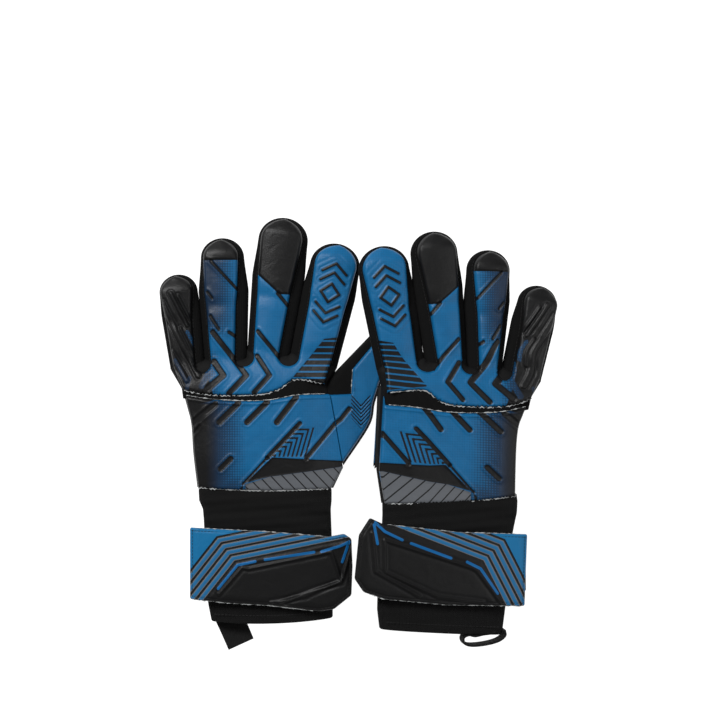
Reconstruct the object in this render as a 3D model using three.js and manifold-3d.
// A pair of goalkeeper gloves laid palm down, fingers along +Y, backs up (+Z), in millimetres.
// Each glove is a foam palm shell with textile side walls, moulded back panels, four fingers
// in two bending segments, a folding thumb, a knitted cuff, a wrist strap and a pull tab.
// The right glove leans on its little-finger side, with its thumb folded under its palm.
import * as THREE from 'three';
import Module from 'manifold-3d';
import { mergeVertices } from 'three/addons/utils/BufferGeometryUtils.js';

const wasm = await Module();
wasm.setup();

// Driving dimensions: foam, walls and clearances
const PALM_FOAM = 4.6;
const SIDE_WALL = 2.0;
const BACK_PAD = 4.4;
const HAND_THICKNESS = 20;
const FINGER_THICKNESS = 16;
const PIECE_GAP = 0.4;
const JOINT_GAP = 0.35;
const PAD_INSET = 1.2;
const PAD_EDGE = 1.2;

// Driving dimensions: how far the fingers bend, in degrees
const KNUCKLE_BEND = 40;
const MIDDLE_BEND = 44;
const HINGE_HEIGHT = 8;
const KNUCKLE_AT = 12;

// Driving dimensions: cuff, strap and patches
const CUFF_HEIGHT = 15;
const CUFF_WALL = 2.2;
const BAND_THICKNESS = 2;
const BAND_WIDTH = 40;
const PATCH_THICKNESS = 1.2;
const FLAP_THICKNESS = 3.2;
const FLAP_HINGE_GAP = 0.6;
const TAB_WIDTH = 19;
const TAB_LENGTH = 15;
const TAB_SPREAD = 30;
const TAB_DEPTH = 12;
const TAB_HEIGHT = 12;
const TAB_WEBBING = 1.6;
const TAB_THROAT = 4.8;

// The right glove leans on its little-finger side by this many degrees
const RIGHT_LEAN = 8.5;
const RIGHT_PIVOT_X = 138;
const PIVOT_IN_GLOVE_X = 141.2;

// The middle of the pair's outline in the plan that the tables below use
const PAIR_CENTRE = [-1, -1.37];

// Fingers: base centre at the crotch, tilt from +Y towards +X, length and widths
const LEFT = {
  name: 'left',
  thumbSide: 1,
  fingers: [
    {
      name: 'little', base: [-121.3, 46.0], tilt: -7.2,
      length: 66.5, widths: [23.8, 27.0, 27.0], middle: 33,
    },
    {
      name: 'ring', base: [-94.5, 48.3], tilt: -2.0,
      length: 89.5, widths: [28.6, 34.2, 30.5], middle: 42,
    },
    {
      name: 'middle', base: [-64.9, 52.5], tilt: 7.2,
      length: 100.3, widths: [28.8, 36.0, 35.0], middle: 44,
    },
    {
      name: 'index', base: [-33.2, 49.2], tilt: 12.7,
      length: 86.5, widths: [33.0, 36.8, 35.2], middle: 41,
    },
  ],
  littleSide: [[-114.8, -37.8], [-117.6, -14], [-119, 6.3], [-121.8, 18.2], [-125.3, 30.8]],
  thumbLine: [[-22.4, 34.3], [-12, -24]],
  wristCorner: [-18.9, -38.4],
  knuckleSeam: [[-125.3, 30.8], [-94.5, 26.6], [-70, 27.3], [-56.7, 30.8], [-44.8, 37.8], [-24, 34.6]],
  lowerSeam: [[-124.2, 27.2], [-103.6, 24.4], [-83.3, 23.2], [-63.7, 23.8], [-43.4, 27.3], [-21.8, 28]],
  thumbThickness: 12,
  thumbFold: 0,
  cuffX: [-109, -20],
  cuffY: [-132.3, -39],
  strap: [[-118.6, -65], [-63.7, -67.9], [-21.7, -71.4], [-11.2, -69.3], [-6, -72.8], [-6, -112],
    [-18.2, -121.8], [-28.7, -123.2], [-63.7, -119], [-89.6, -117.6], [-118.6, -114.8]],
  strapFold: -119,
  tab: { at: [-89.8, -137.2], turn: 24, flat: true },
};
const RIGHT = {
  name: 'right',
  thumbSide: -1,
  fingers: [
    {
      name: 'little', base: [114.8, 39.0], tilt: 13.0,
      length: 66.5, widths: [28.2, 30.0, 28.6], middle: 33,
    },
    {
      name: 'ring', base: [88.2, 42.4], tilt: 2.6,
      length: 86.5, widths: [24.2, 31.6, 31.0], middle: 41,
    },
    {
      name: 'middle', base: [61.8, 48.0], tilt: -6.5,
      length: 94.0, widths: [28.2, 34.0, 33.2], middle: 43,
    },
    {
      name: 'index', base: [29.4, 46.0], tilt: -9.9,
      length: 86.0, widths: [32.8, 36.2, 35.6], middle: 41,
    },
  ],
  littleSide: [[110.6, -43.4], [110.9, -14], [112.5, 4], [116, 14], [119.5, 21]],
  thumbLine: [[15.4, 33.6], [11.9, -24]],
  wristCorner: [15.4, -47.4],
  knuckleSeam: [[121, 24.6], [94, 18.6], [66, 19.8], [54, 23.2], [43, 30.4], [17, 29]],
  lowerSeam: [[118.6, 19.4], [97, 15.6], [77, 15], [57, 16], [38, 19], [16.4, 21]],
  thumbThickness: 8.8,
  thumbFold: 180,
  cuffX: [13.5, 107],
  cuffY: [-136.6, -47.8],
  strap: [[116, -69.3], [67.2, -67.2], [14.7, -60.9], [6, -57], [-2.4, -66], [-5, -98],
    [0.7, -107.1], [14.7, -112], [58.8, -116.9], [114, -119]],
  strapFold: 116.6,
  tab: { at: [88.6, -140], turn: 0, flat: false },
};

// Thumb outline from its fold line: first number outwards from the hand, second along the line
const THUMB_INNER = [0.4, 0];
const THUMB_MOUTH = [-6, -38];
const THUMB_TIP_RADIUS = 14;
// The thumb's foam back and the foam under its hollow, as shares of its thickness
const THUMB_FOAM_SHARE = 0.28;
const THUMB_LIFT_SHARE = 0.3;
// The open thumb points forwards; the tucked one lies lower, clear of the bending fingers
const OPEN_THUMB = {
  tip: [45.5, 19.5],
  direction: 42,
  outer: [[38.5, -2.6], [30.2, -18.3], [23.6, -33.5], [0.4, -58]],
};
const TUCKED_THUMB = {
  tip: [56, 0],
  direction: 20,
  outer: [[42.8, -18.4], [29.6, -29.4], [21, -42], [0.4, -58]],
};

const TIP_SQUASH = 0.92;
const TIP_STEPS = 12;
const WIDEST_AT = 0.58;
const REACH = 60;

const radians = (degrees) => degrees * Math.PI / 180;

// Closed solids: a geometry as a manifold, and back
function solid(geometry) {
  const bare = geometry.index ? geometry.toNonIndexed() : geometry.clone();
  bare.deleteAttribute('normal');
  bare.deleteAttribute('uv');
  const merged = mergeVertices(bare, 1e-4);
  return new wasm.Manifold(new wasm.Mesh({
    numProp: 3,
    vertProperties: new Float32Array(merged.attributes.position.array),
    triVerts: new Uint32Array(merged.index.array),
  }));
}

function geometryOf(body) {
  const mesh = body.getMesh();
  const geometry = new THREE.BufferGeometry();
  geometry.setAttribute('position', new THREE.BufferAttribute(new Float32Array(mesh.vertProperties), 3));
  geometry.setIndex(new THREE.BufferAttribute(new Uint32Array(mesh.triVerts), 1));
  geometry.computeVertexNormals();
  return geometry;
}

// A flat plate: an outline in plan, between two heights
function plate(points, low, high) {
  const shape = new THREE.Shape(points.map(([x, y]) => new THREE.Vector2(x, y)));
  const geometry = new THREE.ExtrudeGeometry(shape, { depth: high - low, bevelEnabled: false });
  geometry.translate(0, 0, low);
  return solid(geometry);
}

// A moulded pad: the same, with its edges chamfered inside the outline
function pad(points, low, high, edge = PAD_EDGE) {
  const shape = new THREE.Shape(points.map(([x, y]) => new THREE.Vector2(x, y)));
  const geometry = new THREE.ExtrudeGeometry(shape, {
    depth: high - low - 2 * edge,
    bevelEnabled: true,
    bevelThickness: edge,
    bevelSize: edge,
    bevelOffset: -edge,
    bevelSegments: 1,
  });
  geometry.translate(0, 0, low + edge);
  return solid(geometry);
}

// A block with a side profile in Y and Z, running across X
function acrossBlock(profile, left, right) {
  const shape = new THREE.Shape(profile.map(([y, z]) => new THREE.Vector2(y, z)));
  const geometry = new THREE.ExtrudeGeometry(shape, { depth: right - left, bevelEnabled: false });
  const turn = new THREE.Matrix4().makeBasis(
    new THREE.Vector3(0, 1, 0), new THREE.Vector3(0, 0, 1), new THREE.Vector3(1, 0, 0));
  geometry.applyMatrix4(turn);
  geometry.translate(left, 0, 0);
  return solid(geometry);
}

// An outline moved inwards by a distance, for the wall of a shell
function inset(points, distance) {
  const turning = points.reduce((sum, [x, y], i) => {
    const [nextX, nextY] = points[(i + 1) % points.length];
    return sum + x * nextY - nextX * y;
  }, 0);
  const sign = Math.sign(turning);
  return points.map((point, i) => {
    const before = points[(i + points.length - 1) % points.length];
    const after = points[(i + 1) % points.length];
    const edgeIn = new THREE.Vector2(point[0] - before[0], point[1] - before[1]).normalize();
    const edgeOut = new THREE.Vector2(after[0] - point[0], after[1] - point[1]).normalize();
    const normalIn = new THREE.Vector2(-edgeIn.y, edgeIn.x).multiplyScalar(sign);
    const normalOut = new THREE.Vector2(-edgeOut.y, edgeOut.x).multiplyScalar(sign);
    const middle = normalIn.clone().add(normalOut).normalize();
    const reach = distance / Math.max(0.5, middle.dot(normalIn));
    return [point[0] + middle.x * reach, point[1] + middle.y * reach];
  });
}

// Half the width of a finger at a distance from its crotch
function halfWidth(finger, along) {
  const [atBase, atWidest, atTip] = finger.widths;
  const widest = WIDEST_AT * finger.length;
  const shoulder = finger.length - TIP_SQUASH * atTip / 2;
  if (along < widest) return (atBase + (atWidest - atBase) * along / widest) / 2;
  return (atWidest + (atTip - atWidest) * (along - widest) / (shoulder - widest)) / 2;
}

// A finger's outline in its own frame, crotch at the origin and the tip along +Y
function fingerOutline(finger) {
  const radius = finger.widths[2] / 2;
  const shoulder = finger.length - TIP_SQUASH * radius;
  const widest = WIDEST_AT * finger.length;
  const points = [[-finger.widths[0] / 2, 0], [-finger.widths[1] / 2, widest]];
  for (let i = 0; i <= TIP_STEPS; i += 1) {
    const angle = Math.PI * (1 - i / TIP_STEPS);
    points.push([radius * Math.cos(angle), shoulder + TIP_SQUASH * radius * Math.sin(angle)]);
  }
  points.push([finger.widths[1] / 2, widest], [finger.widths[0] / 2, 0]);
  return points;
}

// A point of a finger, across and along, in the glove's plan
function fingerPoint(finger, across, along) {
  const angle = radians(finger.tilt);
  return [
    finger.base[0] + across * Math.cos(angle) + along * Math.sin(angle),
    finger.base[1] - across * Math.sin(angle) + along * Math.cos(angle),
  ];
}

// The side profile of a segment: upright above the hinge, sloped under it so that it can bend
function segmentProfile(start, end, startBend, endBend) {
  const top = HAND_THICKNESS + 1;
  const startSlope = HINGE_HEIGHT * Math.tan(radians(startBend / 2)) + (startBend ? JOINT_GAP : 0);
  const endSlope = HINGE_HEIGHT * Math.tan(radians(endBend / 2)) + (endBend ? JOINT_GAP : 0);
  return [
    [start, top], [start, HINGE_HEIGHT], [start + startSlope, -0.01],
    [end - endSlope, -0.01], [end, HINGE_HEIGHT], [end, top],
  ];
}

function mesh(name, body, material) {
  const piece = new THREE.Mesh(geometryOf(body), material);
  piece.name = name;
  return piece;
}

const materials = {
  print: new THREE.MeshStandardMaterial({ color: 0x1c6aa8, roughness: 0.55, metalness: 0 }),
  black: new THREE.MeshStandardMaterial({ color: 0x17181a, roughness: 0.5, metalness: 0 }),
  gusset: new THREE.MeshStandardMaterial({ color: 0x0f1012, roughness: 0.9, metalness: 0 }),
  palm: new THREE.MeshStandardMaterial({ color: 0x1b1c1f, roughness: 0.8, metalness: 0 }),
  knit: new THREE.MeshStandardMaterial({ color: 0x121315, roughness: 0.95, metalness: 0 }),
  patch: new THREE.MeshStandardMaterial({ color: 0x1a1a1c, roughness: 1, metalness: 0 }),
  webbing: new THREE.MeshStandardMaterial({ color: 0x202124, roughness: 0.9, metalness: 0 }),
};

// One finger: a textile and foam sleeve open at the back, closed by a moulded pad, in two segments
function fingerGroup(glove, finger) {
  const group = new THREE.Group();
  group.position.set(finger.base[0], finger.base[1], 0);
  group.rotation.z = -radians(finger.tilt);
  const sleeveTop = FINGER_THICKNESS - BACK_PAD - PIECE_GAP;
  const outline = fingerOutline(finger);
  const hollow = inset(outline, SIDE_WALL).map(([x, y]) => [x, y < SIDE_WALL + 1 ? -5 : y]);
  const sleeve = plate(outline, 0, sleeveTop).subtract(plate(hollow, PALM_FOAM, sleeveTop + 5));
  const back = pad(inset(outline, PAD_INSET), sleeveTop + PIECE_GAP, FINGER_THICKNESS);
  const segments = {
    proximal: [KNUCKLE_AT + JOINT_GAP, finger.middle - JOINT_GAP, KNUCKLE_BEND, MIDDLE_BEND],
    distal: [finger.middle + JOINT_GAP, finger.length + 5, MIDDLE_BEND, 0],
  };
  for (const [part, [start, end, startBend, endBend]] of Object.entries(segments)) {
    const keep = acrossBlock(segmentProfile(start, end, startBend, endBend), -REACH, REACH);
    const name = `${glove.name}_${finger.name}_${part}`;
    group.add(mesh(`${name}_sleeve`, sleeve.intersect(keep), materials.gusset));
    const backMaterial = finger.name === 'little' ? materials.black : materials.print;
    group.add(mesh(`${name}_back`, back.intersect(keep), backMaterial));
  }
  return group;
}

// The hand's outline: up the little-finger side, round the finger stubs, down the thumb's fold line
function handOutline(glove) {
  const outer = -glove.thumbSide;
  const points = [...glove.littleSide];
  const stubEnd = KNUCKLE_AT - JOINT_GAP;
  glove.fingers.forEach((finger, i) => {
    if (i === 0) points.push(fingerPoint(finger, outer * halfWidth(finger, 0), 0));
    points.push(fingerPoint(finger, outer * halfWidth(finger, stubEnd), stubEnd));
    points.push(fingerPoint(finger, -outer * halfWidth(finger, stubEnd), stubEnd));
    const innerBase = fingerPoint(finger, -outer * halfWidth(finger, 0), 0);
    const next = glove.fingers[i + 1];
    if (next) {
      const nextBase = fingerPoint(next, outer * halfWidth(next, 0), 0);
      points.push([(innerBase[0] + nextBase[0]) / 2, (innerBase[1] + nextBase[1]) / 2]);
    } else {
      points.push(innerBase);
    }
  });
  const back = -glove.thumbSide * PIECE_GAP;
  points.push(...glove.thumbLine.map(([x, y]) => [x + back, y]), glove.wristCorner);
  return points;
}

// The hand without its finger stubs, for the hollow inside it
function handCore(glove) {
  const outer = -glove.thumbSide;
  const points = [...glove.littleSide];
  glove.fingers.forEach((finger, i) => {
    if (i === 0) points.push(fingerPoint(finger, outer * halfWidth(finger, 0), 0));
    points.push(fingerPoint(finger, -outer * halfWidth(finger, 0), 0));
  });
  points.push(...glove.thumbLine, glove.wristCorner);
  return points;
}

// Palm shell: foam floor, textile side walls, a tunnel into each finger and one towards the thumb
function palmShell(glove) {
  const top = HAND_THICKNESS - BACK_PAD - PIECE_GAP;
  let shell = plate(handOutline(glove), 0, top);
  const core = inset(handCore(glove), SIDE_WALL);
  const wristLine = Math.min(...handCore(glove).map(([, y]) => y));
  core[0] = [core[0][0], wristLine - 5];
  core[core.length - 1] = [core[core.length - 1][0], wristLine - 5];
  shell = shell.subtract(plate(core, PALM_FOAM, top + 5));
  for (const finger of glove.fingers) {
    const half = halfWidth(finger, 0) - SIDE_WALL;
    const tunnel = [[-half, -12], [half, -12], [half, KNUCKLE_AT + 5], [-half, KNUCKLE_AT + 5]];
    const placed = tunnel.map(([across, along]) => fingerPoint(finger, across, along));
    shell = shell.subtract(plate(placed, PALM_FOAM, top + 5));
    shell = shell.subtract(placedNotch(finger));
  }
  return shell;
}

// The wedge left open under a knuckle so that the finger can bend towards the palm
function placedNotch(finger) {
  const end = KNUCKLE_AT - JOINT_GAP;
  const slope = HINGE_HEIGHT * Math.tan(radians(KNUCKLE_BEND / 2)) + JOINT_GAP;
  const half = halfWidth(finger, KNUCKLE_AT) + 0.1;
  const corners = [-half, half].flatMap((across) => [
    [across, end - slope, -0.02], [across, end + 0.02, -0.02], [across, end + 0.02, HINGE_HEIGHT],
  ]);
  const positions = corners.map(([across, along, height]) => {
    const [x, y] = fingerPoint(finger, across, along);
    return [x, y, height];
  });
  const faces = [[0, 2, 1], [3, 4, 5], [0, 1, 4], [0, 4, 3], [1, 2, 5], [1, 5, 4], [2, 0, 3], [2, 3, 5]];
  return new wasm.Manifold(new wasm.Mesh({
    numProp: 3,
    vertProperties: new Float32Array(positions.flat()),
    triVerts: new Uint32Array(faces.flat()),
  }));
}

// The upper back panel over the knuckles, from its ragged seam to the finger stubs
function knucklePanel(glove) {
  const outline = handOutline(glove);
  const upper = outline.slice(glove.littleSide.length, outline.length - 3);
  const seam = [...glove.knuckleSeam].reverse();
  return pad(inset([...upper, ...seam], PAD_INSET), HAND_THICKNESS - BACK_PAD, HAND_THICKNESS);
}

// The bare textile strip that flexes between the two back panels
function flexStrip(glove) {
  const upper = glove.knuckleSeam.map(([x, y]) => [x, y + PAD_INSET - PIECE_GAP]);
  const lower = glove.lowerSeam.map(([x, y]) => [x, y - PAD_INSET + PIECE_GAP]).reverse();
  return plate([...upper, ...lower], HAND_THICKNESS - BACK_PAD, HAND_THICKNESS - BACK_PAD / 2);
}

// The lower back panel over the back of the hand
function lowerPanel(glove) {
  const back = -glove.thumbSide * PIECE_GAP;
  const [webX, webY] = glove.thumbLine[0];
  const [footX, footY] = glove.thumbLine[1];
  const seamEnd = glove.lowerSeam[glove.lowerSeam.length - 1];
  const share = (webY - seamEnd[1]) / (webY - footY);
  const onLine = [webX + (footX - webX) * share + back, seamEnd[1]];
  const points = [
    ...glove.littleSide.slice(0, 4), ...glove.lowerSeam.slice(0, -1), onLine,
    [footX + back, footY], glove.wristCorner,
  ];
  return pad(inset(points, PAD_INSET), HAND_THICKNESS - BACK_PAD, HAND_THICKNESS);
}

// The thumb, built beside its fold line and folded about it
function thumbGroup(glove) {
  const [web, foot] = glove.thumbLine;
  const side = glove.thumbSide;
  const turn = Math.atan2(-(web[0] - foot[0]), web[1] - foot[1]);
  const group = new THREE.Group();
  group.position.set(web[0], web[1], 0);
  group.rotation.z = turn;
  const fold = new THREE.Group();
  fold.position.z = -PIECE_GAP / 2 * (glove.thumbFold ? 1 : 0);
  fold.rotation.y = side * radians(glove.thumbFold);
  group.add(fold);
  const thumb = glove.thumbFold ? TUCKED_THUMB : OPEN_THUMB;
  const outline = [THUMB_INNER];
  for (let i = 0; i <= TIP_STEPS; i += 1) {
    const angle = radians(thumb.direction + 90 - 180 * i / TIP_STEPS);
    outline.push([
      thumb.tip[0] + THUMB_TIP_RADIUS * Math.cos(angle),
      thumb.tip[1] + THUMB_TIP_RADIUS * Math.sin(angle),
    ]);
  }
  outline.push(...thumb.outer);
  const placed = outline.map(([across, along]) => [across * side, along]);
  const backPad = glove.thumbThickness * THUMB_FOAM_SHARE;
  const floor = glove.thumbThickness * THUMB_LIFT_SHARE;
  const low = glove.thumbFold ? PIECE_GAP / 2 : 0;
  const sleeveTop = glove.thumbThickness - backPad - PIECE_GAP;
  const wallInside = inset(placed, SIDE_WALL).slice(1, -1);
  const hollow = [[-side * 3, THUMB_MOUTH[0]], ...wallInside, [-side * 3, THUMB_MOUTH[1]]];
  const sleeve = plate(placed, low, sleeveTop).subtract(plate(hollow, floor, sleeveTop + 5));
  const back = pad(inset(placed, PAD_INSET), sleeveTop + PIECE_GAP, glove.thumbThickness, backPad / 3);
  fold.add(mesh(`${glove.name}_thumb_sleeve`, sleeve, materials.gusset));
  fold.add(mesh(`${glove.name}_thumb_back`, back, materials.print));
  return group;
}

// A rounded ring section in X and Z, running along Y
function tube(xRange, zRange, yRange, wall) {
  const [left, right] = xRange;
  const [low, high] = zRange;
  const ring = (grow) => {
    const radius = (high - low) / 2 - grow;
    const path = [];
    for (let i = 0; i <= 8; i += 1) {
      const angle = Math.PI * (0.5 + i / 8);
      path.push(new THREE.Vector2(left + radius + grow + radius * Math.cos(angle),
        (low + high) / 2 + radius * Math.sin(angle)));
    }
    for (let i = 0; i <= 8; i += 1) {
      const angle = Math.PI * (-0.5 + i / 8);
      path.push(new THREE.Vector2(right - radius - grow + radius * Math.cos(angle),
        (low + high) / 2 + radius * Math.sin(angle)));
    }
    return path;
  };
  const shape = new THREE.Shape(ring(0));
  shape.holes.push(new THREE.Path(ring(wall).reverse()));
  const geometry = new THREE.ExtrudeGeometry(shape, { depth: yRange[1] - yRange[0], bevelEnabled: false });
  geometry.applyMatrix4(new THREE.Matrix4().makeRotationX(Math.PI / 2));
  geometry.translate(0, yRange[1], 0);
  return solid(geometry);
}

const CUFF_LOW = BAND_THICKNESS + PIECE_GAP;
const CUFF_TOP = CUFF_LOW + CUFF_HEIGHT;
const LOOP_LENGTH = 55;
const HOOK_LENGTH = 30;
const LOOP_LOW = CUFF_TOP + PIECE_GAP;
const HOOK_LOW = LOOP_LOW + PATCH_THICKNESS + PIECE_GAP;
const FLAP_LOW = HOOK_LOW + PATCH_THICKNESS + PIECE_GAP;

// The elastic band under and beside the cuff, to which the strap is sewn
function strapBand(glove) {
  const xs = glove.strap.map(([x]) => x);
  const farX = glove.thumbSide > 0 ? glove.cuffX[1] + 4 : glove.cuffX[0] - 4;
  const left = glove.thumbSide > 0 ? Math.min(...xs) : farX;
  const right = glove.thumbSide > 0 ? farX : Math.max(...xs);
  const foldY = glove.strap.filter(([x]) => Math.abs(x - glove.strapFold) < 3).map(([, y]) => y);
  const middleY = (Math.min(...foldY) + Math.max(...foldY)) / 2;
  const low = middleY - BAND_WIDTH / 2;
  const wallTop = LOOP_LOW + PATCH_THICKNESS;
  const outside = new THREE.BoxGeometry(right - left, BAND_WIDTH, wallTop);
  outside.translate((left + right) / 2, low + BAND_WIDTH / 2, wallTop / 2);
  const inside = new THREE.BoxGeometry(right - left - 2 * BAND_THICKNESS, BAND_WIDTH + 2, wallTop);
  inside.translate((left + right) / 2, low + BAND_WIDTH / 2, wallTop / 2 + BAND_THICKNESS);
  return solid(outside).subtract(solid(inside));
}

// Hook and loop patches between the cuff's back and the strap
function patch(glove, low, length) {
  const side = glove.thumbSide;
  const end = side > 0 ? glove.cuffX[1] - 8 : glove.cuffX[0] + 8;
  const near = end - side * length;
  const ys = glove.strap.map(([, y]) => y);
  const middleY = (Math.min(...ys) + Math.max(...ys)) / 2;
  const geometry = new THREE.BoxGeometry(Math.abs(end - near), BAND_WIDTH * 0.7, PATCH_THICKNESS);
  geometry.translate((end + near) / 2, middleY, low + PATCH_THICKNESS / 2);
  return solid(geometry);
}

// The strap that folds over the back of the wrist
function strapFlap(glove) {
  const start = glove.strapFold + glove.thumbSide * FLAP_HINGE_GAP;
  const points = glove.strap.map(([x, y]) => [
    glove.thumbSide > 0 ? Math.max(x, start) : Math.min(x, start), y,
  ]);
  return pad(points, FLAP_LOW, FLAP_LOW + FLAP_THICKNESS, 0.8);
}

// A webbing loop seen from its side: a throat between two layers, pointed where it is sewn on
function flatLoop() {
  const outerHigh = TAB_THROAT / 2 + TAB_WEBBING;
  const ring = (half, start, end) => {
    const path = [[start, -half * 0.35], [start, half * 0.35], [start - half, half]];
    for (let i = 0; i <= 6; i += 1) {
      const angle = Math.PI * (0.5 + i / 6);
      path.push([end + half + half * Math.cos(angle), half * Math.sin(angle)]);
    }
    path.push([start - half, -half]);
    return path;
  };
  const outer = ring(outerHigh, 0, -TAB_LENGTH);
  const inner = ring(TAB_THROAT / 2, -TAB_WEBBING * 1.6, -TAB_LENGTH + TAB_WEBBING);
  return acrossBlock(outer, -TAB_WIDTH / 2, TAB_WIDTH / 2)
    .subtract(acrossBlock(inner, -TAB_WIDTH, TAB_WIDTH));
}

// The same webbing loop twisted to stand on its edge, spread along the hem
function standingLoop() {
  const ring = (grow) => {
    const half = TAB_DEPTH / 2 - grow;
    const reach = TAB_SPREAD / 2 - TAB_DEPTH / 2;
    const path = [];
    for (let i = 0; i <= 8; i += 1) {
      const angle = Math.PI * (0.5 + i / 8);
      path.push([-reach + half * Math.cos(angle), -TAB_DEPTH / 2 + half * Math.sin(angle)]);
    }
    for (let i = 0; i <= 8; i += 1) {
      const angle = Math.PI * (-0.5 + i / 8);
      path.push([reach + half * Math.cos(angle), -TAB_DEPTH / 2 + half * Math.sin(angle)]);
    }
    return path;
  };
  return plate(ring(0), -TAB_HEIGHT / 2, TAB_HEIGHT / 2)
    .subtract(plate(ring(TAB_WEBBING), -TAB_HEIGHT, TAB_HEIGHT));
}

// The pull tab at the hem: lying flat on the left cuff, standing on edge on the right one
function pullTab(glove) {
  const loop = glove.tab.flat ? flatLoop() : standingLoop();
  const piece = mesh(`${glove.name}_pull_tab`, loop, materials.webbing);
  const flatHeight = TAB_THROAT / 2 + TAB_WEBBING + 0.05;
  const height = glove.tab.flat ? flatHeight : CUFF_LOW + CUFF_HEIGHT / 2;
  piece.position.set(glove.tab.at[0], glove.tab.at[1], height);
  piece.rotation.z = radians(glove.tab.turn);
  return piece;
}

function gloveGroup(glove) {
  const group = new THREE.Group();
  const add = (name, body, material) => group.add(mesh(`${glove.name}_${name}`, body, material));
  add('palm_shell', palmShell(glove), materials.palm);
  add('knuckle_panel', knucklePanel(glove), materials.print);
  add('flex_strip', flexStrip(glove), materials.gusset);
  add('lower_back_panel', lowerPanel(glove), materials.print);
  add('cuff', tube(glove.cuffX, [CUFF_LOW, CUFF_TOP], glove.cuffY, CUFF_WALL), materials.knit);
  add('strap_band', strapBand(glove), materials.webbing);
  add('loop_patch', patch(glove, LOOP_LOW, LOOP_LENGTH), materials.patch);
  add('hook_patch', patch(glove, HOOK_LOW, HOOK_LENGTH), materials.patch);
  add('strap', strapFlap(glove), materials.print);
  group.add(pullTab(glove));
  group.add(thumbGroup(glove));
  for (const finger of glove.fingers) group.add(fingerGroup(glove, finger));
  return group;
}

const pair = new THREE.Group();
pair.name = 'goalkeeper_gloves';
const leftGlove = gloveGroup(LEFT);
pair.add(leftGlove);
const rightLean = new THREE.Group();
rightLean.position.x = RIGHT_PIVOT_X;
rightLean.rotation.y = radians(RIGHT_LEAN);
const rightGlove = gloveGroup(RIGHT);
rightGlove.position.x = -PIVOT_IN_GLOVE_X;
rightLean.add(rightGlove);
pair.add(rightLean);
pair.position.set(-PAIR_CENTRE[0], -PAIR_CENTRE[1], 0);

export default pair;
